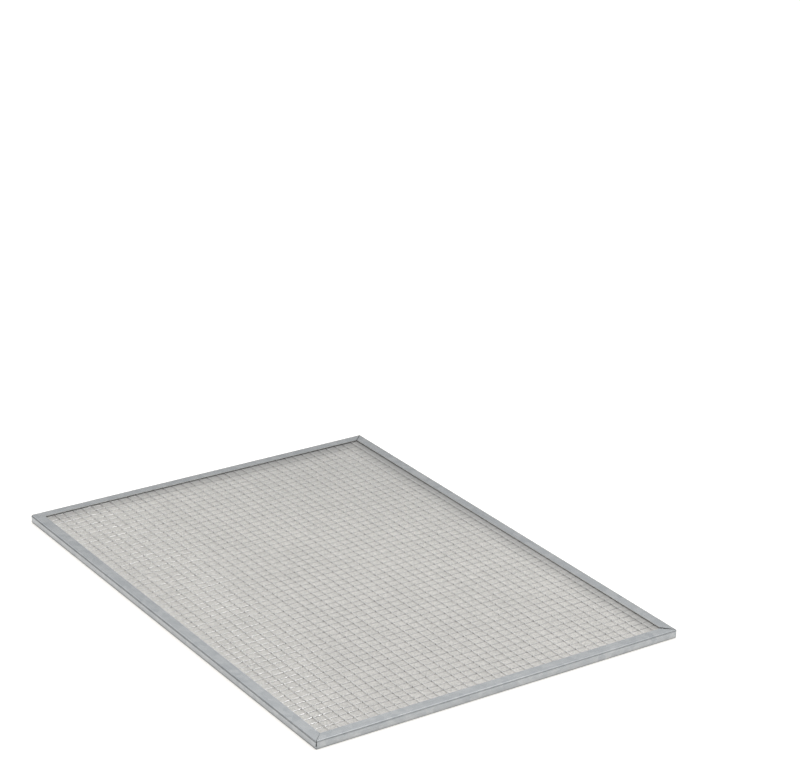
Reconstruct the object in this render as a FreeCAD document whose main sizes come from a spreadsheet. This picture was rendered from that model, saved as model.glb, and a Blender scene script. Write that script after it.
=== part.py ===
import FreeCAD, Part
import math
import os

import Sketcher

# A slim air filter panel that lies flat. One strip of galvanised sheet, rolled to a channel and folded
# round the four corners, holds a fibre mat between two nets of welded wire. The mat pushes the upper net
# up into a low crown, and the lower net lies flat.
# Lengths are in millimetres. The origin is the middle of the frame's underside, +X runs along the long
# side, +Y along the short side and +Z up.

SIZES = {
    # The channel frame.
    "long_side": 665.0,
    "short_side": 480.0,
    "frame_height": 10.6,
    "sheet_thickness": 0.7,
    "flange_width": 13.2,
    "bend_radius": 1.8,        # outside of the bends between web and flanges
    "corner_radius": 2.1,      # outside of the upright folds at the corners

    # The four mitres in the flanges. A gape is the gap's width at the window, and an end gap its width at
    # the outer end, whose inset from the outer faces comes next. Three of them end in a round relief hole.
    "closing_gape": 0.3,
    "closing_end_gap": 0.5,
    "closing_inset": 1.0,
    "open_gape": 3.6,
    "open_end_gap": 0.8,
    "open_inset": 2.0,
    "open_relief": 0.6,
    "pipped_gape": 1.0,
    "pipped_end_gap": 0.8,
    "pipped_inset": 2.8,
    "pipped_relief": 1.1,
    "tight_gape": 0.25,
    "tight_end_gap": 0.2,
    "tight_inset": 2.0,
    "tight_relief": 0.5,

    # The closing corner, where the strip's two ends meet. Above its tab the corner is notched away.
    "seam_inset": 1.1,         # from the long web's outer face to the seam
    "seam_gap": 0.3,
    "notch_height": 6.4,
    "tab_length": 12.0,
    "tab_foot": 2.0,           # from the underside of the frame to the tab
    "tab_height": 2.0,

    # The welded nets.
    "wire_diameter": 0.9,
    "long_wire_pitch": 12.7,
    "long_wire_shift": 1.7,    # how far the middle long wire lies off the centre line
    "short_wire_pitch": 11.35,
    "net_crown": 2.5,          # rise of the upper net at its middle
    "net_end_gap": 0.5,        # from the closing tab to the nets and the mat
    "fit_gap": 0.1,
    "lip_gap": 0.02,           # where the crowned net bears on the upper flange's lip
}

# Each corner's side along X and along Y. The closing corner's mitre runs out into the seam.
CORNERS = {"closing": (1, -1), "open": (1, 1), "pipped": (-1, 1), "tight": (-1, -1)}
RELIEVED_CORNERS = ("open", "pipped", "tight")

NODES = ("channel_frame", "upper_mesh", "filter_mat", "lower_mesh")

Vector = FreeCAD.Vector
document = FreeCAD.newDocument("air_filter_panel")

sheet = document.addObject("Spreadsheet::Sheet", "Sizes")
for row, (name, value) in enumerate(SIZES.items(), start=1):
    sheet.set(f"A{row}", name)
    sheet.set(f"B{row}", str(value))
    sheet.setAlias(f"B{row}", name)
document.recompute()


# Lengths that follow from the driving ones, written for the sheet's aliases.
HALF_LONG = "Sizes.long_side / 2"
HALF_SHORT = "Sizes.short_side / 2"
NET_MARGIN = "(2 * Sizes.sheet_thickness + Sizes.net_end_gap)"
NET_HALF_LONG = f"({HALF_LONG} - {NET_MARGIN})"
NET_HALF_SHORT = f"({HALF_SHORT} - {NET_MARGIN})"

# The number of wires each side of the middle one, and where the first one runs.
LONG_WIRES_ASIDE = (f"floor(({NET_HALF_SHORT} - abs(Sizes.long_wire_shift) - Sizes.wire_diameter)"
                    " / Sizes.long_wire_pitch)")
SHORT_WIRES_ASIDE = f"floor(({NET_HALF_LONG} - Sizes.wire_diameter) / Sizes.short_wire_pitch)"
FIRST_LONG_WIRE = f"(Sizes.long_wire_shift - {LONG_WIRES_ASIDE} * Sizes.long_wire_pitch)"
FIRST_SHORT_WIRE = f"(-{SHORT_WIRES_ASIDE} * Sizes.short_wire_pitch)"

# Heights of the wires' centre lines. The short wires lie under the long ones in both nets. The upper
# net's rim hangs low enough for the crown to clear the flange's lip.
LOWER_SHORT_WIRES = "(Sizes.sheet_thickness + Sizes.fit_gap + Sizes.wire_diameter / 2)"
LOWER_LONG_WIRES = f"({LOWER_SHORT_WIRES} + Sizes.wire_diameter)"
LIP_SHARE = f"(1 - (Sizes.flange_width - {NET_MARGIN}) / {NET_HALF_SHORT})"
LIP_RISE = f"(Sizes.net_crown * (1 - {LIP_SHARE} * {LIP_SHARE}))"
UPPER_LONG_WIRES = ("(Sizes.frame_height - Sizes.sheet_thickness - Sizes.lip_gap"
                    f" - {LIP_RISE} - Sizes.wire_diameter / 2)")
UPPER_SHORT_WIRES = f"({UPPER_LONG_WIRES} - Sizes.wire_diameter)"

# The mat fills the space between the nets.
MAT_BOTTOM = f"({LOWER_LONG_WIRES} + Sizes.wire_diameter / 2 + Sizes.fit_gap)"
MAT_RIM = f"({UPPER_SHORT_WIRES} - Sizes.wire_diameter / 2 - Sizes.fit_gap)"


def length(expression):
    """The present value of an expression of the sheet."""
    return float(sheet.evalExpression(expression))


def new_body(name):
    return document.addObject("PartDesign::Body", name)


def new_sketch(body, role, name, lift=None):
    """A sketch on one of the body's own origin planes, raised along the plane's normal."""
    sketch = body.newObject("Sketcher::SketchObject", name)
    plane = next(item for item in body.Origin.OriginFeatures if item.Role == role)
    sketch.AttachmentSupport = [(plane, "")]
    sketch.MapMode = "FlatFace"
    if lift:
        sketch.setExpression("AttachmentOffset.Base.z", lift)
    return sketch


def pin(sketch, edge, point, place):
    """Hold a point at two expressions, measured from the sketch's origin."""
    for kind, expression in zip(("DistanceX", "DistanceY"), place):
        held = sketch.addConstraint(
            Sketcher.Constraint(kind, -1, 1, edge, point, length(expression)))
        sketch.setExpression(f"Constraints[{held}]", expression)


def add_polygon(sketch, corners):
    """A closed loop of lines whose corners are pairs of expressions."""
    spots = [Vector(length(across), length(up), 0) for across, up in corners]
    ends = spots[1:] + spots[:1]
    edges = [sketch.addGeometry(Part.LineSegment(a, b)) for a, b in zip(spots, ends)]
    for edge, following in zip(edges, edges[1:] + edges[:1]):
        sketch.addConstraint(Sketcher.Constraint("Coincident", edge, 2, following, 1))
    for edge, corner in zip(edges, corners):
        pin(sketch, edge, 1, corner)


def add_rectangle(sketch, left, right, low, high):
    add_polygon(sketch, [(left, low), (right, low), (right, high), (left, high)])


def add_circle(sketch, centre, radius):
    middle = Vector(length(centre[0]), length(centre[1]), 0)
    edge = sketch.addGeometry(Part.Circle(middle, Vector(0, 0, 1), length(radius)))
    pin(sketch, edge, 3, centre)
    held = sketch.addConstraint(Sketcher.Constraint("Radius", edge, length(radius)))
    sketch.setExpression(f"Constraints[{held}]", radius)


def add_feature(body, kind, name, sketch, expressions, **settings):
    """A pad or pocket of a sketch, with its lengths bound to the sheet."""
    feature = body.newObject(f"PartDesign::{kind}", name)
    feature.Profile = sketch
    for setting, value in settings.items():
        setattr(feature, setting, value)
    for target, expression in expressions.items():
        feature.setExpression(target, expression)
    sketch.Visibility = False
    document.recompute()
    return feature


def dress(body, kind, name, base, parts, target, expression, **settings):
    """A fillet or a shell on the named edges or faces of the feature before it."""
    feature = body.newObject(f"PartDesign::{kind}", name)
    feature.Base = (base, parts)
    for setting, value in settings.items():
        setattr(feature, setting, value)
    feature.setExpression(target, expression)
    document.recompute()
    return feature


def cut_volume(feature, before):
    """A pocket that points the wrong way cuts nothing, so each one has to take some metal away."""
    taken = before.Shape.Volume - feature.Shape.Volume
    print(f"{feature.Name} takes away {taken:.2f} mm3")
    if taken <= 0:
        raise RuntimeError(f"{feature.Name} cuts nothing")


def edge_names(shape, wanted):
    return [f"Edge{number}" for number, edge in enumerate(shape.Edges, start=1) if wanted(edge)]


def face_names(shape, wanted):
    return [f"Face{number}" for number, face in enumerate(shape.Faces, start=1) if wanted(face)]


def near(a, b):
    return abs(a - b) < 1e-6


def corner_point(corner, inset_x, inset_y):
    """A point near one of the frame's corners, measured inwards from the outer faces."""
    side_x, side_y = CORNERS[corner]
    return (f"{side_x} * ({HALF_LONG} - ({inset_x}))", f"{side_y} * ({HALF_SHORT} - ({inset_y}))")


def mitre_outline(corner):
    """The slit between two flanges, from the window's corner to the mitre's outer end."""
    window, end = "Sizes.flange_width", f"Sizes.{corner}_inset"
    gape, end_gap = f"Sizes.{corner}_gape / sqrt(2)", f"Sizes.{corner}_end_gap / sqrt(2)"
    return [
        corner_point(corner, window, f"{window} + {gape}"),
        corner_point(corner, end, f"{end} + {end_gap}"),
        corner_point(corner, f"{end} + {end_gap}", end),
        corner_point(corner, f"{window} + {gape}", window),
    ]


def cut_mitres(body, name, lift, reverse, before):
    """The four mitres and their relief holes, in one flange plane and through its bend only."""
    slits = new_sketch(body, "XY_Plane", f"{name}_slits", lift)
    holes = new_sketch(body, "XY_Plane", f"{name}_holes", lift)
    for corner in CORNERS:
        add_polygon(slits, mitre_outline(corner))
    for corner in RELIEVED_CORNERS:
        inset = f"Sizes.{corner}_inset"
        add_circle(holes, corner_point(corner, inset, inset), f"Sizes.{corner}_relief")
    depth = {"Length": "Sizes.bend_radius"}
    slit_cut = add_feature(body, "Pocket", f"{name}_mitres", slits, depth, Reversed=reverse)
    cut_volume(slit_cut, before)
    hole_cut = add_feature(body, "Pocket", f"{name}_reliefs", holes, depth, Reversed=reverse)
    cut_volume(hole_cut, slit_cut)
    return hole_cut


def make_channel_frame():
    """One strip of sheet: web outside, flanges above and below, mitred at the corners."""
    body = new_body("channel_frame")
    half_long, half_short, height = length(HALF_LONG), length(HALF_SHORT), sheet.frame_height

    ring = new_sketch(body, "XY_Plane", "frame_ring")
    add_rectangle(ring, f"-{HALF_LONG}", HALF_LONG, f"-{HALF_SHORT}", HALF_SHORT)
    window_x, window_y = f"({HALF_LONG} - Sizes.flange_width)", f"({HALF_SHORT} - Sizes.flange_width)"
    add_rectangle(ring, f"-{window_x}", window_x, f"-{window_y}", window_y)
    block = add_feature(body, "Pad", "frame_block", ring, {"Length": "Sizes.frame_height"})

    def upright_fold(edge):
        middle = edge.CenterOfMass
        return near(abs(middle.x), half_long) and near(abs(middle.y), half_short)

    folds = dress(body, "Fillet", "corner_folds", block, edge_names(block.Shape, upright_fold),
                  "Radius", "Sizes.corner_radius")

    def outer_rim(edge):
        middle, box = edge.CenterOfMass, edge.BoundBox
        level = near(box.ZMin, box.ZMax) and (near(middle.z, 0) or near(middle.z, height))
        return level and (abs(middle.x) > length(window_x) + 1 or abs(middle.y) > length(window_y) + 1)

    bends = dress(body, "Fillet", "long_bends", folds, edge_names(folds.Shape, outer_rim),
                  "Radius", "Sizes.bend_radius")

    def window_face(face):
        middle = face.CenterOfMass
        across_x = near(abs(middle.x), length(window_x)) and near(middle.y, 0)
        across_y = near(abs(middle.y), length(window_y)) and near(middle.x, 0)
        return across_x or across_y

    channel = dress(body, "Thickness", "channel_wall", bends, face_names(bends.Shape, window_face),
                    "Value", "Sizes.sheet_thickness", Reversed=True)

    upper_cut = cut_mitres(body, "upper", "Sizes.frame_height", False, channel)
    lower_cut = cut_mitres(body, "lower", None, True, upper_cut)

    seam_start = f"(-{HALF_SHORT} + Sizes.seam_inset)"
    seam_end = f"({seam_start} + Sizes.seam_gap)"
    seam = new_sketch(body, "YZ_Plane", "seam_line", HALF_LONG)
    add_rectangle(seam, seam_start, seam_end, "-Sizes.sheet_thickness",
                  "Sizes.frame_height + Sizes.sheet_thickness")
    seam_cut = add_feature(body, "Pocket", "seam", seam, {"Length": "Sizes.corner_radius"})
    cut_volume(seam_cut, lower_cut)

    notch = new_sketch(body, "XY_Plane", "notch_outline", "Sizes.frame_height")
    add_rectangle(notch, f"{HALF_LONG} - Sizes.seam_inset - Sizes.seam_gap",
                  f"{HALF_LONG} + Sizes.sheet_thickness",
                  f"-{HALF_SHORT} - Sizes.sheet_thickness", seam_end)
    notch_cut = add_feature(body, "Pocket", "notch", notch, {"Length": "Sizes.notch_height"})
    cut_volume(notch_cut, seam_cut)

    tab = new_sketch(body, "XY_Plane", "tab_outline", "Sizes.tab_foot")
    inner_y = f"(-{HALF_SHORT} + Sizes.sheet_thickness)"
    add_rectangle(tab, f"{HALF_LONG} - 2 * Sizes.sheet_thickness", f"{HALF_LONG} - Sizes.sheet_thickness",
                  inner_y, f"{inner_y} + Sizes.tab_length")
    add_feature(body, "Pad", "closing_tab", tab, {"Length": "Sizes.tab_height"})
    return body


def hexagon_corners(middle, level):
    """A wire's section, flat above and below, so that crossing wires meet face to face."""
    side, flat = "Sizes.wire_diameter / sqrt(3)", "Sizes.wire_diameter / 2"
    return [
        (f"{middle} + {side}", level),
        (f"{middle} + {side} / 2", f"{level} + {flat}"),
        (f"{middle} - {side} / 2", f"{level} + {flat}"),
        (f"{middle} - {side}", level),
        (f"{middle} - {side} / 2", f"{level} - {flat}"),
        (f"{middle} + {side} / 2", f"{level} - {flat}"),
    ]


def straight_wires(name, role, first, level, half_length, pattern_axis, aside, pitch):
    """One layer of the flat net: a wire and its copies."""
    body = new_body(name)
    section = new_sketch(body, role, f"{name}_section")
    add_polygon(section, hexagon_corners(first, level))
    wire = add_feature(body, "Pad", f"{name}_wire", section, {"Length": f"2 * {half_length}"},
                       SideType="Symmetric")
    row = body.newObject("PartDesign::LinearPattern", f"{name}_row")
    row.Originals = [wire]
    axis = next(item for item in body.Origin.OriginFeatures if item.Role == pattern_axis)
    row.Direction = (axis, [""])
    row.setExpression("Length", f"2 * {aside} * {pitch}")
    row.setExpression("Occurrences", f"2 * {aside} + 1")
    body.Tip = row
    document.recompute()
    return body


def make_lower_mesh():
    """The flat net: short wires below, long wires welded on top of them."""
    short_wires = straight_wires("lower_short_wires", "XZ_Plane", FIRST_SHORT_WIRE, LOWER_SHORT_WIRES,
                                 NET_HALF_SHORT, "X_Axis", SHORT_WIRES_ASIDE, "Sizes.short_wire_pitch")
    long_wires = straight_wires("lower_long_wires", "YZ_Plane", FIRST_LONG_WIRE, LOWER_LONG_WIRES,
                                NET_HALF_LONG, "Y_Axis", LONG_WIRES_ASIDE, "Sizes.long_wire_pitch")
    net = document.addObject("Part::Compound", "lower_mesh")
    net.Links = [short_wires, long_wires]
    document.recompute()
    return net


def bowed_wire(start, end, rise, across):
    """A wire that rises along a parabola at its middle. Across is its sideways direction."""
    bow = Part.BezierCurve()
    bow.setPoles([start, (start + end) / 2 + Vector(0, 0, 2 * rise), end])
    path = Part.Wire(bow.toShape())
    up = Vector(0, 0, 1)
    side, flat = sheet.wire_diameter / math.sqrt(3), sheet.wire_diameter / 2
    corners = [start + across * (side * u) + up * (flat * v)
               for u, v in ((1, 0), (0.5, 1), (-0.5, 1), (-1, 0), (-0.5, -1), (0.5, -1), (1, 0))]
    return path.makePipeShell([Part.makePolygon(corners)], True, False)


def make_upper_mesh():
    """The crowned net. Its height over the rim is the crown times (1 - x2)(1 - y2), with x and y as
    shares of the net's half lengths, so every wire has a bow of its own and the layers still meet."""
    half_long, half_short, crown = length(NET_HALF_LONG), length(NET_HALF_SHORT), sheet.net_crown
    wires = []
    aside = round(length(SHORT_WIRES_ASIDE))
    for number in range(-aside, aside + 1):
        x = number * sheet.short_wire_pitch
        level = length(UPPER_SHORT_WIRES)
        rise = crown * (1 - (x / half_long) ** 2)
        wires.append(bowed_wire(Vector(x, -half_short, level), Vector(x, half_short, level), rise,
                                Vector(1, 0, 0)))
    aside = round(length(LONG_WIRES_ASIDE))
    for number in range(-aside, aside + 1):
        y = sheet.long_wire_shift + number * sheet.long_wire_pitch
        level = length(UPPER_LONG_WIRES)
        rise = crown * (1 - (y / half_short) ** 2)
        wires.append(bowed_wire(Vector(-half_long, y, level), Vector(half_long, y, level), rise,
                                Vector(0, 1, 0)))
    net = document.addObject("Part::Feature", "upper_mesh")
    net.Shape = Part.makeCompound(wires)
    net.Placement = FreeCAD.Placement()
    return net


def make_filter_mat():
    """The fibre mat: the crown's face pushed down and trimmed flat where the mat lies on the lower net."""
    half_long, half_short, rim = length(NET_HALF_LONG), length(NET_HALF_SHORT), length(MAT_RIM)
    patch = Part.BezierSurface()
    patch.increase(2, 2)
    for i, x in enumerate((-half_long, 0, half_long)):
        for j, y in enumerate((-half_short, 0, half_short)):
            # Of a two-way parabola's nine control points only the middle one is raised, to four times
            # the crown.
            lift = 4 * sheet.net_crown if i == 1 and j == 1 else 0
            patch.setPole(i + 1, j + 1, Vector(x, y, rim + lift))
    crown_face = document.addObject("Part::Feature", "mat_crown")
    crown_face.Shape = patch.toShape()

    push = document.addObject("Part::Extrusion", "mat_push")
    push.Base = crown_face
    push.DirMode = "Custom"
    push.Dir = Vector(0, 0, -1)
    push.Solid = True
    push.setExpression("LengthFwd", "Sizes.frame_height + Sizes.net_crown")

    block = document.addObject("Part::Box", "mat_block")
    block.setExpression("Length", f"2 * {NET_HALF_LONG}")
    block.setExpression("Width", f"2 * {NET_HALF_SHORT}")
    block.setExpression("Height", "Sizes.frame_height + Sizes.net_crown")
    block.setExpression("Placement.Base.x", f"-{NET_HALF_LONG}")
    block.setExpression("Placement.Base.y", f"-{NET_HALF_SHORT}")
    block.setExpression("Placement.Base.z", MAT_BOTTOM)

    mat = document.addObject("Part::MultiCommon", "filter_mat")
    mat.Shapes = [push, block]
    document.recompute()
    return mat


make_channel_frame()
make_lower_mesh()
make_upper_mesh()
make_filter_mat()
document.recompute()

for item in document.Objects:
    if "Invalid" in item.State or "Error" in item.State:
        raise RuntimeError(f"{item.Name} failed: {item.State}")
for name in NODES:
    shape = document.getObject(name).Shape
    if shape.isNull() or not shape.isValid():
        raise RuntimeError(f"{name} has no valid shape")

os.makedirs("parts", exist_ok=True)
for name in NODES:
    shape = document.getObject(name).Shape
    box = shape.optimalBoundingBox(False)
    shape.exportStep(f"parts/{name}.step")
    print(f"{name}: {len(shape.Solids)} solids, {shape.Volume / 1000:.2f} cm3,"
          f" {box.XLength:.2f} x {box.YLength:.2f} x {box.ZLength:.2f} mm, z {box.ZMin:.2f} to {box.ZMax:.2f}")
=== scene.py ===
# %% [markdown]
# A slim air filter panel lies flat on a white table. Sheet steel makes its frame, two welded wire nets
# cover its faces, and a fibre mat fills it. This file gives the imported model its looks: it keeps the
# frame's solid, and puts finely modelled nets and a soft mat where the model has plain ones.

import math
import random

import bmesh
import bpy
import numpy as np
from mathutils import Matrix, Quaternion, Vector, noise


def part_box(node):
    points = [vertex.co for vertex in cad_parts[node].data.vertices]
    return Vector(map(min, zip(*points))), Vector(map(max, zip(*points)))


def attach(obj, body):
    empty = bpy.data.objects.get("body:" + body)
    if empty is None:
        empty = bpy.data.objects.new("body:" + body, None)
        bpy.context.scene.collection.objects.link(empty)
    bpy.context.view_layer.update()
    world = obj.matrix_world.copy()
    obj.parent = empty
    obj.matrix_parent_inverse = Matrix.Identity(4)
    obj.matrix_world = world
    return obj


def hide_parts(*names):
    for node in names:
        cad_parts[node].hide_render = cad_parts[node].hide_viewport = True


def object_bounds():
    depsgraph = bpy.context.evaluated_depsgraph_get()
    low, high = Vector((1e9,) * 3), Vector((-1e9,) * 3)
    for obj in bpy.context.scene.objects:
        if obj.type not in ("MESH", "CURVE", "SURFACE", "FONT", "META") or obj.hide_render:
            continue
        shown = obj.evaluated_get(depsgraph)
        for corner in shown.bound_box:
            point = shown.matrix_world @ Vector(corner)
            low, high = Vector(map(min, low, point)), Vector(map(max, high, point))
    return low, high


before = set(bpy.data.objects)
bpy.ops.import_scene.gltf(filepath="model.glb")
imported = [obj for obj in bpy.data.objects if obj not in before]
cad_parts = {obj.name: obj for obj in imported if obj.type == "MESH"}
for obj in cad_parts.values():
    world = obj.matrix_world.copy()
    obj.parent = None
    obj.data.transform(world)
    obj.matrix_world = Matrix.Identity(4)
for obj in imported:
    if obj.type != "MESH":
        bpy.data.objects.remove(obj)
model_low, model_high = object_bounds()
print("model", [round(v, 4) for v in model_low], [round(v, 4) for v in model_high])

# %% [markdown]
# Lengths are in metres, so a millimetre gets a name of its own. The nets are welded from round wire.
# The long wires run along X and lie on top of the short ones, which run along Y.

# %% Sizes of the nets
MM = 0.001
WIRE = 0.9 * MM
LONG_PITCH = 12.7 * MM
LONG_SHIFT = 1.7 * MM
SHORT_PITCH = 11.35 * MM

upper_low, upper_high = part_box("upper_mesh")
lower_low, lower_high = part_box("lower_mesh")
mat_low, mat_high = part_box("filter_mat")
half_long, half_short = mat_high.x, mat_high.y
crown = (upper_high.z - upper_low.z) - 2 * WIRE
print("net", round(2 * half_long, 4), "by", round(2 * half_short, 4), "crown", round(crown, 5))


def crown_height(x, y):
    """How far the mat pushes the upper net up, nothing at the rim and most in the middle."""
    return crown * (1 - (x / half_long) ** 2) * (1 - (y / half_short) ** 2)


# %% [markdown]
# The wire comes off coils, so it is never quite straight and no two gaps are quite alike. A seeded
# random draw gives each wire its own small error and a slow sideways wave.

# %% Where each wire runs
LONG_ERRORS = {"pair_error": 0.35 * MM, "stray_error": 0.6 * MM, "stray_share": 0.15}
SHORT_ERRORS = {"pair_error": 0.08 * MM, "stray_error": 0.3 * MM, "stray_share": 0.1}
LONG_WAVE = 0.3 * MM
SHORT_WAVE = 0.15 * MM
SMALLEST_WAVE = 0.3
WAVE_LENGTHS = (0.2, 0.5)
draw = random.Random(7)


def wire_places(pitch, shift, half_width, pair_error, stray_error, stray_share):
    """The places of a row of wires: pairs drawn together or apart, and now and then one that strays."""
    aside = int((half_width - abs(shift) - WIRE) / pitch)
    places = []
    for number in range(-aside, aside + 1):
        error = pair_error * (1 if number % 2 else -1) + draw.uniform(-pair_error, pair_error) / 3
        if draw.random() < stray_share:
            error += draw.uniform(-stray_error, stray_error)
        places.append(shift + number * pitch + error)
    return np.array(places)


def wire_waves(count, highest):
    """Each wire's slow sideways wave: its height, its length and where it starts."""
    return [(draw.uniform(SMALLEST_WAVE, 1) * highest,
             draw.uniform(*WAVE_LENGTHS),
             draw.uniform(0, math.tau)) for _ in range(count)]


def wave_at(wave, along):
    height, length, start = wave
    return height * np.sin(math.tau * along / length + start)


long_places = wire_places(LONG_PITCH, LONG_SHIFT, half_short, **LONG_ERRORS)
short_places = wire_places(SHORT_PITCH, 0, half_long, **SHORT_ERRORS)
long_waves = wire_waves(len(long_places), LONG_WAVE)
short_waves = wire_waves(len(short_places), SHORT_WAVE)
print(len(long_places), "long wires,", len(short_places), "short wires")

# %% [markdown]
# All wires are one shape: a long thin drum, cut into rings. Each ring is moved to its place in a wire,
# one at each weld and one halfway to the next, and the drum is added to the net again and again. At a
# weld the two wires swell a little and sink into each other. One attribute says how near each point is
# to a weld and another marks the short wires, which lie under the long ones, for the paint to read.

# %% One straight wire
SIDES = 8
WELD_SINK = 0.06 * MM
WELD_SWELL = 1.12


def read_points(mesh):
    points = np.empty(len(mesh.vertices) * 3)
    mesh.vertices.foreach_get("co", points)
    return points.reshape(-1, 3)


def straight_wire(rings):
    """A drum, one unit long on X and one unit in radius: its mesh, its points and each point's ring."""
    shape = bmesh.new()
    bmesh.ops.create_cone(shape, cap_ends=True, segments=SIDES, radius1=1, radius2=1, depth=1)
    bmesh.ops.rotate(shape, verts=shape.verts, matrix=Matrix.Rotation(math.pi / 2, 3, "Y"))
    lengthwise = [edge for edge in shape.edges if abs(edge.verts[0].co.x - edge.verts[1].co.x) > 0.5]
    bmesh.ops.subdivide_edges(shape, edges=lengthwise, cuts=rings - 2, use_grid_fill=True)
    for face in shape.faces:
        face.smooth = len(face.verts) == 4
    drum = bpy.data.meshes.new("drum")
    shape.to_mesh(drum)
    shape.free()
    drum.attributes.new("weld", "FLOAT", "POINT")
    drum.attributes.new("under", "FLOAT", "POINT")
    points = read_points(drum)
    return drum, points, np.rint((points[:, 0] + 0.5) * (rings - 1)).astype(int)


# %% A row of wires
def ring_places(crossings, half_length):
    """Where a wire's rings stand along it, and 1 for those at a weld."""
    halfway = (crossings[1:] + crossings[:-1]) / 2
    along = np.sort(np.concatenate([crossings, halfway, [-half_length, half_length]]))
    return along, np.isin(along, crossings).astype(float)


def add_row(net, row, across, half_length, axis, level, lift, sink):
    """Adds a row of wires that run along one axis, 0 for X or 1 for Y, and cross another row's wires."""
    drum, unit, ring = straight_wire(2 * len(across[0]) + 1)
    drum.attributes["under"].data.foreach_set("value", np.full(len(unit), float(axis)))
    for place, wave in zip(*row):
        crossings = across[0] + np.array([wave_at(other, place) for other in across[1]])
        along, weld = ring_places(crossings, half_length)
        aside = place + wave_at(wave, along)
        x, y = (along, aside) if axis == 0 else (aside, along)
        height = level + lift * crown_height(x, y) + sink * weld
        radius = (WIRE / 2 * (1 + (WELD_SWELL - 1) * weld))[ring]
        points = np.empty_like(unit)
        points[:, axis] = along[ring]
        points[:, 1 - axis] = aside[ring] + radius * unit[:, 1] * (1 if axis == 0 else -1)
        points[:, 2] = height[ring] + radius * unit[:, 2]
        drum.vertices.foreach_set("co", points.ravel())
        drum.attributes["weld"].data.foreach_set("value", weld[ring])
        net.from_mesh(drum)
    bpy.data.meshes.remove(drum)


# %% The two nets
def as_piece(name, shape):
    """Turns a finished bmesh into a piece of the panel."""
    mesh = bpy.data.meshes.new(name)
    shape.to_mesh(mesh)
    shape.free()
    piece = bpy.data.objects.new(name, mesh)
    bpy.context.scene.collection.objects.link(piece)
    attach(piece, "root")
    print(name, len(mesh.polygons), "faces")
    return piece


def make_net(name, bottom, lift):
    """A net from its bottom up. With a lift of 1 it follows the crown, with 0 it stays flat."""
    net = bmesh.new()
    long_row, short_row = (long_places, long_waves), (short_places, short_waves)
    add_row(net, long_row, short_row, half_long, 0, bottom + 1.5 * WIRE, lift, -WELD_SINK)
    add_row(net, short_row, long_row, half_short, 1, bottom + 0.5 * WIRE, lift, WELD_SINK)
    return as_piece(name, net)


upper_net = make_net("upper_net", upper_low.z, 1)
lower_net = make_net("lower_net", lower_low.z, 0)
for net, node in ((upper_net, "upper_mesh"), (lower_net, "lower_mesh")):
    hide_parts(node)

# %% [markdown]
# The mat is loose fibre, pressed between the nets. It fills the small gap up to the wires, which nestle
# into it a little. It swells more into each opening, and most along its rim, towards the flanges of the
# frame. It has no cover that could be blown up like a cushion's, so its points are moved instead. A grid
# makes its lower face, with its lines drawn to the wires, four squares to an opening, and extruding the
# grid gives a closed slab. Each point of the upper face then goes up to the crown. On both faces the
# points move out by the swelling, and a little more or less at random.

# %% The fibre mat's shape
GRID_LINES = (0, 0.14, 0.5, 0.86)
LINE_SHARES = (0, 0.78, 1, 0.78)
SQUARES = len(GRID_LINES)
NESTLE = 0.15 * MM
SWELL = 0.35 * MM
SWELL_UNEVEN = 0.6
SWELL_PATCHES = 14
SWELL_SLICE = 0.3
RIM_SWELL = 1.2 * MM
RIM_WIDTH = 20 * MM
ROUGHNESS = 0.1 * MM
ROUGH_PATCHES = 160


def to_the_wires(places, half_width, column):
    """Where a line of the grid stands: every fourth one under a wire, its neighbours close to it."""
    ends = np.concatenate([[-half_width], places, [half_width]])
    opening, line = divmod(column, SQUARES)
    return float(np.interp(opening + GRID_LINES[line], range(len(ends)), ends))


def swell_at(column, line, x, y):
    """The swelling in an opening, none under a wire, and the swelling of the whole rim."""
    inside = min(LINE_SHARES[column % SQUARES], LINE_SHARES[line % SQUARES])
    patch = noise.noise(Vector((x * SWELL_PATCHES, y * SWELL_PATCHES, SWELL_SLICE)))
    fuller = 1 + SWELL_UNEVEN * patch
    to_edge = min(half_long - abs(x), half_short - abs(y))
    at_rim = max(0.0, 1 - to_edge / RIM_WIDTH)
    return NESTLE + SWELL * fuller * inside + RIM_SWELL * at_rim


# %% The fibre mat
def sort_sides(shape, flat_faces):
    """The extrusion makes the side faces in any order, so they are put in order round the slab."""
    shape.faces.index_update()

    def turn(face):
        middle = face.calc_center_median()
        return flat_faces + math.pi + math.atan2(middle.y, middle.x)

    shape.faces.sort(key=lambda face: face.index if face.index < flat_faces else turn(face))


def make_mat():
    """A closed slab. Its two faces read the noise at different levels, so they aren't alike."""
    columns, lines = (len(short_places) + 1) * SQUARES, (len(long_places) + 1) * SQUARES
    shape = bmesh.new()
    bmesh.ops.create_grid(shape, x_segments=columns, y_segments=lines, size=0.5)
    lower = list(shape.verts)
    made = bmesh.ops.extrude_face_region(shape, geom=shape.faces[:], use_keep_orig=True)
    upper = [item for item in made["geom"] if isinstance(item, bmesh.types.BMVert)]
    sort_sides(shape, 2 * columns * lines)
    rim = mat_high.z - crown
    for verts, level, lift in ((upper, rim, 1), (lower, mat_low.z, 0)):
        for vert in verts:
            column, line = round((vert.co.x + 0.5) * columns), round((vert.co.y + 0.5) * lines)
            x = to_the_wires(short_places, half_long, column)
            y = to_the_wires(long_places, half_short, line)
            swell = swell_at(column, line, x, y) * (1 if lift else -1)
            rough = ROUGHNESS * noise.noise(Vector((x * ROUGH_PATCHES, y * ROUGH_PATCHES, level * 1000)))
            vert.co = (x, y, level + lift * crown_height(x, y) + swell + rough)
    bmesh.ops.recalc_face_normals(shape, faces=shape.faces)
    for face in shape.faces:
        face.smooth = True
    return as_piece("fibre_mat", shape)


mat = make_mat()
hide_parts("filter_mat")

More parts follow.
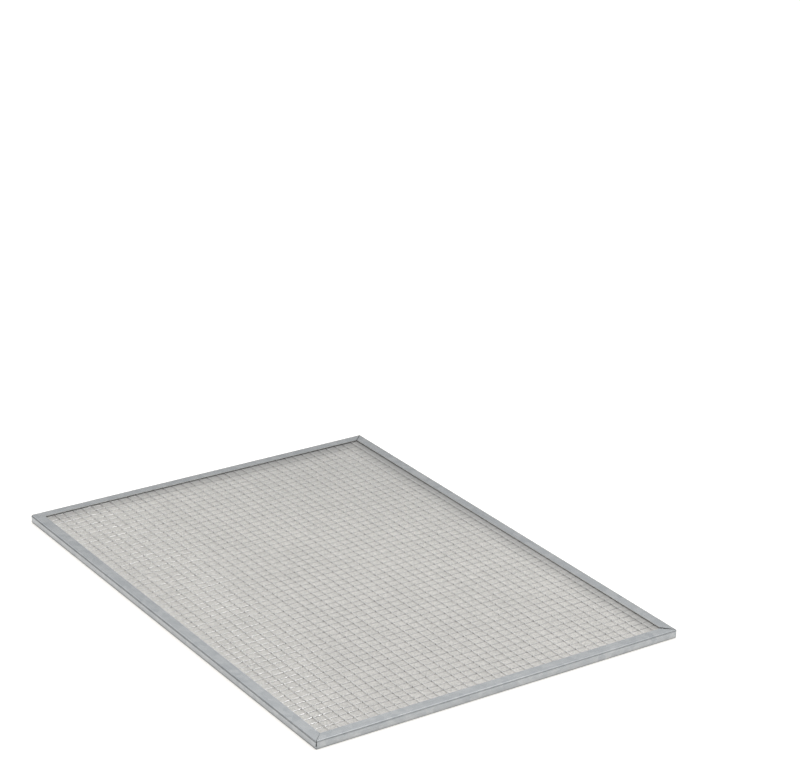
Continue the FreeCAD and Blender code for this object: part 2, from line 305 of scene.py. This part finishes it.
# %% [markdown]
# Materials are built from nodes. These helpers add a node and feed its inputs, each with a plain value
# or with another node's output, which keeps the recipes below short. A pattern's scale is about the
# number of its patches in a metre, and a share says how much of the pattern goes into a tone.

# %% Helpers that add nodes
def feed(tree, socket, value):
    if isinstance(value, bpy.types.NodeSocket):
        tree.links.new(value, socket)
    else:
        socket.default_value = value


def add_node(tree, kind, settings=None, **inputs):
    node = tree.nodes.new(kind)
    for setting, value in (settings or {}).items():
        setattr(node, setting, value)
    for socket, value in inputs.items():
        feed(tree, node.inputs[socket.replace("_", " ")], value)
    return node


def new_material(name, **sockets):
    material = bpy.data.materials.new(name)
    material.use_nodes = True
    tree = material.node_tree
    shader = tree.nodes["Principled BSDF"]
    for socket, value in sockets.items():
        feed(tree, shader.inputs[socket.replace("_", " ")], value)
    return material, tree, shader


# %% Helpers for numbers
def maths(tree, operation, first, second=0):
    node = tree.nodes.new("ShaderNodeMath")
    node.operation = operation
    feed(tree, node.inputs[0], first)
    feed(tree, node.inputs[1], second)
    return node.outputs[0]


def weighted_sum(tree, *parts):
    """The sum of some values, each times its share."""
    total = None
    for value, share in parts:
        part = maths(tree, "MULTIPLY", value, share)
        total = part if total is None else maths(tree, "ADD", total, part)
    return total


def ramp(tree, value, start, end, low, high):
    """A smooth step of a value from one level to another."""
    node = add_node(tree, "ShaderNodeMapRange", {"interpolation_type": "SMOOTHSTEP"}, Value=value,
                    From_Min=start, From_Max=end, To_Min=low, To_Max=high)
    return node.outputs["Result"]


def band(tree, value, start, full, fading, end, most):
    """A level that rises smoothly from nothing, holds and falls back to nothing."""
    return maths(tree, "MINIMUM", ramp(tree, value, start, full, 0, most),
                 ramp(tree, value, fading, end, most, 0))


# %% Helpers for colours and patterns
MIX_SOCKETS = {"RGBA": (6, 7, 2), "FLOAT": (2, 3, 0)}


def blend(tree, share, first, second, kind="RGBA"):
    """A colour between two others, or with the kind FLOAT a number between two others."""
    node = tree.nodes.new("ShaderNodeMix")
    node.data_type = kind
    first_input, second_input, result = MIX_SOCKETS[kind]
    feed(tree, node.inputs[0], share)
    feed(tree, node.inputs[first_input], first)
    feed(tree, node.inputs[second_input], second)
    return node.outputs[result]


def place_on_piece(tree, scale=(1, 1, 1)):
    """Object coordinates, with a scale for each axis where the grain runs one way."""
    coordinates = tree.nodes.new("ShaderNodeTexCoord")
    mapping = add_node(tree, "ShaderNodeMapping", Vector=coordinates.outputs["Object"], Scale=scale)
    return mapping.outputs["Vector"]


def clouds(tree, place, scale, detail, roughness=0.5):
    node = add_node(tree, "ShaderNodeTexNoise", Vector=place, Scale=scale, Detail=detail,
                    Roughness=roughness)
    return node.outputs["Fac"]


def speckles(tree, place, scale):
    """A pattern of small cells, each with a random tone of its own."""
    node = add_node(tree, "ShaderNodeTexVoronoi", {"feature": "F1"}, Vector=place, Scale=scale)
    return add_node(tree, "ShaderNodeSeparateColor", Color=node.outputs["Color"]).outputs["Red"]


def add_bump(tree, shader, height, strength, depth):
    bump = add_node(tree, "ShaderNodeBump", Strength=strength, Distance=depth, Height=height)
    feed(tree, shader.inputs["Normal"], bump.outputs["Normal"])


# %% [markdown]
# Galvanised sheet is steel with a skin of zinc. The zinc freezes in crystals, which show as faint light
# and dark flecks, and the rolling mill leaves fine lines along the strip. The strip turns at each corner,
# so the lines run along X on the long sides and along Y on the short ones.

# %% Zinc
ZINC_LIGHT = (0.530, 0.547, 0.556, 1)
ZINC_DARK = (0.380, 0.404, 0.422, 1)
CRYSTALS = 130
MOTTLE = 70
LINES_LONG, LINES_FINE = 9, 1300
CRYSTAL_SHARE, MOTTLE_SHARE, LINES_SHARE = 0.20, 0.35, 0.45
TONE_LOW, TONE_HIGH = 0.3, 0.7


def rolling_lines(tree, on_long_side):
    """Clouds drawn out into fine lines, along X on the long sides and along Y on the short ones."""
    along_x = clouds(tree, place_on_piece(tree, (LINES_LONG, LINES_FINE, LINES_FINE)), 1, detail=3)
    along_y = clouds(tree, place_on_piece(tree, (LINES_FINE, LINES_LONG, LINES_FINE)), 1, detail=3)
    return blend(tree, on_long_side, along_y, along_x, "FLOAT")


def zinc_tone(tree, place, lines):
    """How light the zinc is at each place, from 0 to 1."""
    crystals = speckles(tree, place, CRYSTALS)
    mottle = clouds(tree, place, MOTTLE, detail=5, roughness=0.6)
    tone = weighted_sum(tree, (crystals, CRYSTAL_SHARE), (mottle, MOTTLE_SHARE), (lines, LINES_SHARE))
    spread = add_node(tree, "ShaderNodeMapRange", Value=tone, From_Min=TONE_LOW, From_Max=TONE_HIGH)
    return spread.outputs["Result"]


# %% [markdown]
# Where the sheet was bent its zinc has crazed, less on the short sides, so the bends are duller than the
# flanges. Each bend also has a dark line painted along its crease, a painted reflection of the dim side
# of the room. The foot of each web, next to the table, is painted darker, a painted shade for the
# shadowed table it mirrors. Both are fainter on the short sides. The inner edge of each flange is cut
# bare, and it is painted near white, a painted light that lifts the dim reflection there. Each mark is
# placed by a
# distance: from the cut edge, from the middle of the channel's height or from the table.

# %% Marks of making and use, with painted shade and light
# The crease's dark line is painted shade: a painted reflection of the dim side of the room.
CREASE_PAINTED_SHADE_AND_DULL = 0.38
CREASE_SHORT_SIDE = 0.35
CREASE_HEIGHT = 3.8 * MM
CREASE_WIDTH = 1.1 * MM
BEND_DULL = 0.25
BEND_BAND = (0.02 * MM, 0.15 * MM, 1.2 * MM, 1.8 * MM)
# The foot's darkening is painted shade, for the shadowed table that the web mirrors.
FOOT_PAINTED_SHADE = 0.55
FOOT_BAND = (0.02 * MM, 0.15 * MM, 0.5 * MM, 4 * MM)
FLANGE_WIDTH = 13.2 * MM
channel_low, channel_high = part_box("channel_frame")
CHANNEL_MIDDLE = (channel_low.z + channel_high.z) / 2
CHANNEL_HALF = (channel_high.z - channel_low.z) / 2
print("channel", round(2 * CHANNEL_HALF, 5), "deep")


def side_and_cut(tree, parts):
    """1 on the long sides and 0 on the short ones, and how far each place lies from the cut edge."""
    off_x = maths(tree, "SUBTRACT", maths(tree, "ABSOLUTE", parts["X"]), model_high.x)
    off_y = maths(tree, "SUBTRACT", maths(tree, "ABSOLUTE", parts["Y"]), model_high.y)
    on_long_side = maths(tree, "GREATER_THAN", off_y, off_x)
    return on_long_side, maths(tree, "ADD", maths(tree, "MAXIMUM", off_x, off_y), FLANGE_WIDTH)


def painted_shade_and_dull(tree, height, on_long_side):
    """How much painted shade the creases and the foot get, and how dull the creases and the bends are."""
    side = ramp(tree, on_long_side, 0, 1, CREASE_SHORT_SIDE, 1)
    off_middle = maths(tree, "ABSOLUTE", maths(tree, "SUBTRACT", height, CHANNEL_MIDDLE))
    off_crease = maths(tree, "ABSOLUTE", maths(tree, "SUBTRACT", off_middle, CREASE_HEIGHT))
    # Painted shade: a dark line along each crease, less on the short sides.
    crease = maths(tree, "MULTIPLY", ramp(tree, off_crease, 0, CREASE_WIDTH, CREASE_PAINTED_SHADE_AND_DULL, 0), side)
    # Painted shade: the foot of each web is darker.
    foot = maths(tree, "MULTIPLY", band(tree, height, *FOOT_BAND, FOOT_PAINTED_SHADE), side)
    off_flange = maths(tree, "SUBTRACT", CHANNEL_HALF, off_middle)
    dull = band(tree, off_flange, *BEND_BAND, BEND_DULL)
    return maths(tree, "MAXIMUM", crease, foot), maths(tree, "MAXIMUM", crease, dull)


# %% Galvanised sheet
# The cut edge's near white is painted light, lifting the dim reflection on the flanges' inner edges.
CUT_EDGE_PAINTED_LIGHT = (0.93, 0.93, 0.92, 1)
CUT_START, CUT_END = 0.03 * MM, 0.12 * MM
BLACK = (0, 0, 0, 1)
SHEET_ROUGHNESS = 0.20
TONE_ROUGHNESS = 0.06


def make_sheet_material():
    material, tree, shader = new_material("galvanised_sheet", Metallic=0.85)
    place = place_on_piece(tree)
    parts = add_node(tree, "ShaderNodeSeparateXYZ", Vector=place).outputs
    on_long_side, off_cut = side_and_cut(tree, parts)
    lines = rolling_lines(tree, on_long_side)
    tone = zinc_tone(tree, place, lines)
    dark, dull = painted_shade_and_dull(tree, parts["Z"], on_long_side)
    zinc = blend(tree, tone, ZINC_DARK, ZINC_LIGHT)
    # The cut edges are painted near white: painted light.
    zinc = blend(tree, ramp(tree, off_cut, CUT_START, CUT_END, 1, 0), zinc, CUT_EDGE_PAINTED_LIGHT)
    # The creases and the foot are painted darker, towards black: painted shade.
    feed(tree, shader.inputs["Base Color"], blend(tree, dark, zinc, BLACK))
    roughness = maths(tree, "ADD", maths(tree, "MULTIPLY", tone, TONE_ROUGHNESS), SHEET_ROUGHNESS)
    feed(tree, shader.inputs["Roughness"], maths(tree, "ADD", roughness, dull))
    add_bump(tree, shader, lines, strength=0.12, depth=0.02 * MM)
    return material


sheet_finish = make_sheet_material()
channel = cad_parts["channel_frame"]
channel.data.materials.clear()
channel.data.materials.append(sheet_finish)
print("sheet", len(sheet_finish.node_tree.nodes), "nodes")

# %% [markdown]
# The wire is zinc too, whiter than the sheet, and smooth enough to glint. The short wires are painted
# greyer than the long ones, a painted shade for the side they turn to the dim room and for the shade
# beside them in the fibre. Welding burns the zinc off, so each crossing has a dark spot. The two
# attributes place both. A painted shade also darkens the two far edges of the opening, on the wire and on
# the fibre, where the lips of the flanges shade them.

# %% Painted shade along the far edges
# The far edges get a painted shade, where the lips of the flanges shade the wire and the fibre.
EDGE_WIDTH = 42 * MM


def far_edge_painted_shade(tree, place, most):
    """A painted shade along the two far edges, under the lips of the flanges, fading over some four
    centimetres.
    """
    parts = add_node(tree, "ShaderNodeSeparateXYZ", Vector=place).outputs
    long_edge = ramp(tree, parts["Y"], half_short - EDGE_WIDTH, half_short, 0, most)
    short_edge = ramp(tree, parts["X"], EDGE_WIDTH - half_long, -half_long, 0, most)
    return maths(tree, "MAXIMUM", long_edge, short_edge)


# %% Galvanised wire
WIRE_LIGHT = (0.96, 0.96, 0.95, 1)
WIRE_DARK = (0.82, 0.82, 0.82, 1)
WIRE_PATCHES = 60
WIRE_GRAIN = 1400
# The dark grey of the painted shade, on the short wires and along the far edges.
WIRE_PAINTED_SHADE_COLOUR = (0.20, 0.20, 0.195, 1)
SHORT_WIRE_PAINTED_SHADE = 0.22
WIRE_PAINTED_SHADE_AT_EDGES = 0.5
WELD_DARK = (0.22, 0.219, 0.216, 1)
SPOT_START, SPOT_END = 0.84, 0.98
LEAST_BURN = 0.35
WIRE_ROUGHNESS = 0.13
BURN_ROUGHNESS = 0.3


def make_wire_material():
    material, tree, shader = new_material("galvanised_wire", Metallic=0.4)
    place = place_on_piece(tree)
    patches = clouds(tree, place, WIRE_PATCHES, detail=4, roughness=0.65)
    zinc = blend(tree, patches, WIRE_DARK, WIRE_LIGHT)
    under = add_node(tree, "ShaderNodeAttribute", {"attribute_name": "under"}).outputs["Fac"]
    # Painted shade: the short wires are greyer.
    painted_wire_shade = maths(tree, "MULTIPLY", under, SHORT_WIRE_PAINTED_SHADE)
    # Painted shade: the wire is greyer along the far edges.
    painted_wire_shade = maths(tree, "ADD", painted_wire_shade, far_edge_painted_shade(tree, place, WIRE_PAINTED_SHADE_AT_EDGES))
    zinc = blend(tree, painted_wire_shade, zinc, WIRE_PAINTED_SHADE_COLOUR)
    weld = add_node(tree, "ShaderNodeAttribute", {"attribute_name": "weld"}).outputs["Fac"]
    spot = ramp(tree, weld, SPOT_START, SPOT_END, 0, 1)
    grain = clouds(tree, place, WIRE_GRAIN, detail=2)
    burnt = maths(tree, "MULTIPLY", spot, maths(tree, "ADD", grain, LEAST_BURN))
    feed(tree, shader.inputs["Base Color"], blend(tree, burnt, zinc, WELD_DARK))
    roughness = maths(tree, "ADD", maths(tree, "MULTIPLY", burnt, BURN_ROUGHNESS), WIRE_ROUGHNESS)
    feed(tree, shader.inputs["Roughness"], roughness)
    add_bump(tree, shader, grain, strength=0.25, depth=0.05 * MM)
    return material


wire_finish = make_wire_material()
for net in (upper_net, lower_net):
    net.data.materials.append(wire_finish)
print("wire", len(wire_finish.node_tree.nodes), "nodes")

# %% [markdown]
# The mat is a tangle of white synthetic fibres. Up close it has thin hairs that lie every way, with small
# pits and bright specks between them. From a step away it is off-white with soft lighter and darker
# clouds. It has a painted shade along the two far edges, under the lips of the flanges, and a little
# painted shade towards the far corner, where the light is weaker. Three stretched noises, each turned
# another way, give the hairs.

# %% Fibres
HAIR_TURNS = ((0.4, 0), (1.5, 3), (2.5, 7))
HAIR_SCALE = (120, 2600, 600)
HAIR_BEND = 1.2
# The mat's painted shade: along the far edges and towards the far corner.
FIBRE_PAINTED_SHADE_AT_EDGES = 0.78
CORNER_PAINTED_SHADE = 0.33
CORNER_START = 0.1


def hairs(tree, turn, seed):
    """Thin streaks that lie along one direction of the mat's face."""
    coordinates = tree.nodes.new("ShaderNodeTexCoord")
    turned = add_node(tree, "ShaderNodeMapping", Vector=coordinates.outputs["Object"],
                      Rotation=(0, 0, turn), Location=(seed, seed, 0))
    drawn = add_node(tree, "ShaderNodeMapping", Vector=turned.outputs["Vector"], Scale=HAIR_SCALE)
    bent = add_node(tree, "ShaderNodeTexNoise", Vector=drawn.outputs["Vector"], Scale=1, Detail=2,
                    Distortion=HAIR_BEND)
    return bent.outputs["Fac"]


def fibre_tangle(tree):
    """The hairs of all directions, of which the highest shows at each place."""
    tangle = hairs(tree, *HAIR_TURNS[0])
    for turn, seed in HAIR_TURNS[1:]:
        tangle = maths(tree, "MAXIMUM", tangle, hairs(tree, turn, seed))
    return tangle


def fibre_painted_shade(tree, place):
    """Painted shade on the mat: along the far edges, and more towards the far corner."""
    parts = add_node(tree, "ShaderNodeSeparateXYZ", Vector=place).outputs
    share_x = maths(tree, "MULTIPLY", parts["X"], 0.5 / half_long)
    share_y = maths(tree, "MULTIPLY", parts["Y"], 0.5 / half_short)
    far_corner = ramp(tree, maths(tree, "SUBTRACT", share_y, share_x), CORNER_START, 1, 0, CORNER_PAINTED_SHADE)
    return maths(tree, "ADD", far_edge_painted_shade(tree, place, FIBRE_PAINTED_SHADE_AT_EDGES), far_corner)


# %% The mat's finish
FIBRE_LIGHT = (0.785, 0.764, 0.731, 1)
FIBRE_DARK = (0.539, 0.530, 0.507, 1)
# The grey of the mat's painted shade.
FIBRE_PAINTED_SHADE_COLOUR = (0.31, 0.31, 0.305, 1)
FIBRE_LOW, FIBRE_HIGH = 0.38, 0.68
SOFT_CLOUDS = 22
PITS = 650
SPECKS = 760
CLOUD_SHARE, PIT_SHARE, TANGLE_SHARE, SPECK_SHARE = 0.13, 0.42, 0.25, 0.20
TANGLE_HEIGHT, PIT_HEIGHT = 0.7, 0.5


def make_fibre_material():
    material, tree, shader = new_material("fibre", Roughness=0.95, Sheen_Weight=0.15,
                                          Specular_IOR_Level=0.2)
    place = place_on_piece(tree)
    soft = clouds(tree, place, SOFT_CLOUDS, detail=6, roughness=0.6)
    pits = clouds(tree, place, PITS, detail=4, roughness=0.7)
    tangle = fibre_tangle(tree)
    tone = weighted_sum(tree, (soft, CLOUD_SHARE), (pits, PIT_SHARE), (tangle, TANGLE_SHARE),
                        (speckles(tree, place, SPECKS), SPECK_SHARE))
    fibre = blend(tree, ramp(tree, tone, FIBRE_LOW, FIBRE_HIGH, 0, 1), FIBRE_DARK, FIBRE_LIGHT)
    # The mat blends towards grey by its painted shade.
    feed(tree, shader.inputs["Base Color"], blend(tree, fibre_painted_shade(tree, place), fibre, FIBRE_PAINTED_SHADE_COLOUR))
    height = weighted_sum(tree, (tangle, TANGLE_HEIGHT), (pits, PIT_HEIGHT))
    add_bump(tree, shader, height, strength=0.5, depth=0.25 * MM)
    return material


fibre_finish = make_fibre_material()
mat.data.materials.append(fibre_finish)
print("fibre", len(fibre_finish.node_tree.nodes), "nodes")

# %% [markdown]
# The panel lies on a white table in a white studio. The floor is white by its own colour for the camera
# and for reflections, and still takes the panel's shadow: a plain white diffuse part is added to a glow
# that those rays alone see.

# %% Floor
FLOOR_WHITE = (0.75, 0.75, 0.75, 1)
FLOOR_SIZE = 16
GLOW_COLOUR = (1, 0.96, 0.91, 1)
GLOW_SEEN = 0.60
GLOW_MIRRORED = 0.49


def glow_strength(tree):
    """The floor's glow: for rays from the camera, for rays off metal, and none that falls on things."""
    path = tree.nodes.new("ShaderNodeLightPath").outputs
    seen = maths(tree, "MULTIPLY", path["Is Camera Ray"], GLOW_SEEN)
    mirrored = maths(tree, "MAXIMUM", path["Is Glossy Ray"], path["Is Transmission Ray"])
    return maths(tree, "MAXIMUM", seen, maths(tree, "MULTIPLY", mirrored, GLOW_MIRRORED))


def make_floor_material():
    material = bpy.data.materials.new("floor_white")
    material.use_nodes = True
    tree = material.node_tree
    tree.nodes.clear()
    white = add_node(tree, "ShaderNodeBsdfDiffuse", Color=FLOOR_WHITE)
    glow = add_node(tree, "ShaderNodeEmission", Color=GLOW_COLOUR, Strength=glow_strength(tree))
    both = tree.nodes.new("ShaderNodeAddShader")
    feed(tree, both.inputs[0], white.outputs[0])
    feed(tree, both.inputs[1], glow.outputs[0])
    add_node(tree, "ShaderNodeOutputMaterial", Surface=both.outputs[0])
    return material


def make_floor():
    shape = bmesh.new()
    bmesh.ops.create_grid(shape, x_segments=1, y_segments=1, size=FLOOR_SIZE / 2)
    mesh = bpy.data.meshes.new("floor")
    shape.to_mesh(mesh)
    shape.free()
    floor = bpy.data.objects.new("floor", mesh)
    bpy.context.scene.collection.objects.link(floor)
    mesh.materials.append(make_floor_material())
    print("floor", FLOOR_SIZE, "m wide")


make_floor()

# %% [markdown]
# The studio has bright walls that are dark near the floor, a white ceiling, a dim side behind the camera
# and a long soft box overhead. Sheet metal looks like what it mirrors: the flat flanges take the tone of
# the far wall, and each round bend squeezes the room into a line, with the dim side as its darkest part.
# The world reads the direction of each ray for this, and is white to the camera. A direction's height
# is 0 at the horizon and 1 straight up.

# %% World
FAR_SIDE = Vector((-0.832, 0.555, 0))
NEAR_END, FAR_START = -0.65, -0.25
WALL_DARK, WALL_BRIGHT = 0.12, 1.25
WALL_DARK_TO, WALL_BRIGHT_FROM = 0.20, 0.60
NEAR_SIDE = 0.26
CEILING = 0.97
CEILING_START, CEILING_END = 0.6, 0.9
WHITE = (1, 1, 1, 1)


def room_light(tree):
    """How bright the room is in each direction."""
    direction = tree.nodes.new("ShaderNodeTexCoord").outputs["Generated"]
    height = add_node(tree, "ShaderNodeSeparateXYZ", Vector=direction).outputs["Z"]
    walls = ramp(tree, height, WALL_DARK_TO, WALL_BRIGHT_FROM, WALL_DARK, WALL_BRIGHT)
    towards_far = add_node(tree, "ShaderNodeVectorMath", {"operation": "DOT_PRODUCT"})
    feed(tree, towards_far.inputs[0], direction)
    feed(tree, towards_far.inputs[1], FAR_SIDE)
    far_share = ramp(tree, towards_far.outputs["Value"], NEAR_END, FAR_START, 0, 1)
    around = blend(tree, far_share, NEAR_SIDE, walls, "FLOAT")
    overhead = ramp(tree, height, CEILING_START, CEILING_END, 0, 1)
    return blend(tree, overhead, around, CEILING, "FLOAT")


def make_world():
    world = bpy.data.worlds.new("studio")
    bpy.context.scene.world = world
    world.use_nodes = True
    tree = world.node_tree
    tree.nodes.clear()
    lit = add_node(tree, "ShaderNodeBackground", Color=WHITE, Strength=room_light(tree))
    white = add_node(tree, "ShaderNodeBackground", Color=WHITE, Strength=1.0)
    seen = tree.nodes.new("ShaderNodeLightPath").outputs["Is Camera Ray"]
    mix = tree.nodes.new("ShaderNodeMixShader")
    feed(tree, mix.inputs[0], seen)
    feed(tree, mix.inputs[1], lit.outputs[0])
    feed(tree, mix.inputs[2], white.outputs[0])
    add_node(tree, "ShaderNodeOutputWorld", Surface=mix.outputs[0])
    print("world", len(tree.nodes), "nodes")


make_world()

# %% [markdown]
# The soft box is an area lamp, which hangs level and shines down. It gives the white glints on the short
# wires, which show where the round wire mirrors it.

# %% Soft box
BOX_PLACE = (0.22, 0.44, 1.3)
BOX_WIDTH = 0.6
BOX_DEPTH = 0.11
BOX_POWER = 2.3


def add_soft_box():
    lamp = bpy.data.lights.new("overhead_box", "AREA")
    lamp.shape = "RECTANGLE"
    lamp.size, lamp.size_y = BOX_WIDTH, BOX_DEPTH
    lamp.energy = BOX_POWER
    holder = bpy.data.objects.new("overhead_box", lamp)
    holder.location = BOX_PLACE
    bpy.context.scene.collection.objects.link(holder)
    print("soft box", BOX_WIDTH, "by", BOX_DEPTH, "m,", BOX_POWER, "W")


add_soft_box()

# %% [markdown]
# The camera stands where the photograph was taken from: beyond the near corner and above the panel, with
# a long lens. Its place and turn were worked out from the panel's corners in the photograph.

# %% Camera
CAMERA_PLACE = Vector((2.4265, -1.5381, 1.3992))
CAMERA_HEADING = math.radians(146.29)
CAMERA_DOWN = math.radians(21.936)
CAMERA_ROLL = math.radians(0.767)
CAMERA_LENS = 121.5
CAMERA_SENSOR = 36


def make_camera():
    data = bpy.data.cameras.new("camera")
    data.sensor_width = CAMERA_SENSOR
    data.lens = CAMERA_LENS
    data.clip_start, data.clip_end = 0.05, 100
    camera = bpy.data.objects.new("camera", data)
    bpy.context.scene.collection.objects.link(camera)
    ahead = Vector((math.cos(CAMERA_HEADING) * math.cos(CAMERA_DOWN),
                    math.sin(CAMERA_HEADING) * math.cos(CAMERA_DOWN), -math.sin(CAMERA_DOWN)))
    camera.location = CAMERA_PLACE
    camera.rotation_mode = "QUATERNION"
    camera.rotation_quaternion = ahead.to_track_quat("-Z", "Y") @ Quaternion((0, 0, 1), CAMERA_ROLL)
    bpy.context.scene.camera = camera
    print("camera", round(CAMERA_PLACE.length, 3), "m from the panel")


make_camera()
bpy.context.scene.view_settings.view_transform = "Standard"
